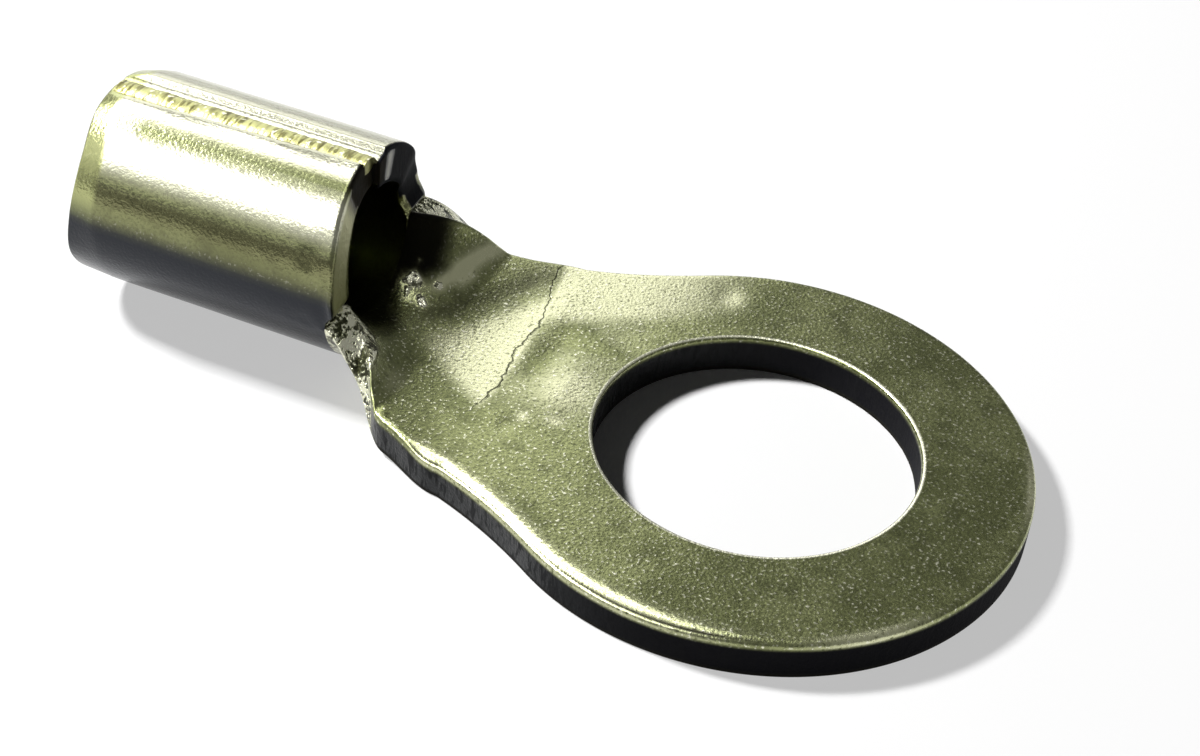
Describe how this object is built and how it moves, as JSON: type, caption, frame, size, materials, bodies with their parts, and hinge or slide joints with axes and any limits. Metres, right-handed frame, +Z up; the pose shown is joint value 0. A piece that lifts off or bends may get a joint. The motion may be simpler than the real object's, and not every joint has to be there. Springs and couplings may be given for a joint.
{
  "type": "ring terminal",
  "caption": "Bare crimp ring terminal folded from one tin-plated copper sheet: flat ring with a stud hole, short troughed neck and a rolled barrel closed by a brazed butt seam.",
  "frame": {"origin": "centre of the stud hole on the underside of the tongue", "axes": "+X from the barrel towards the ring's tip, +Z up out of the tongue's upper face, +Y completes the right-handed frame"},
  "size_m": [0.0258, 0.0142, 0.0061],
  "materials": {
    "tinned_copper": "dull-bright tin plate over copper, fine orange-peel grain, brazed seam in the same tone"
  },
  "bodies": {
    "root": {"terminal": "tinned_copper"}
  },
  "joints": []
}
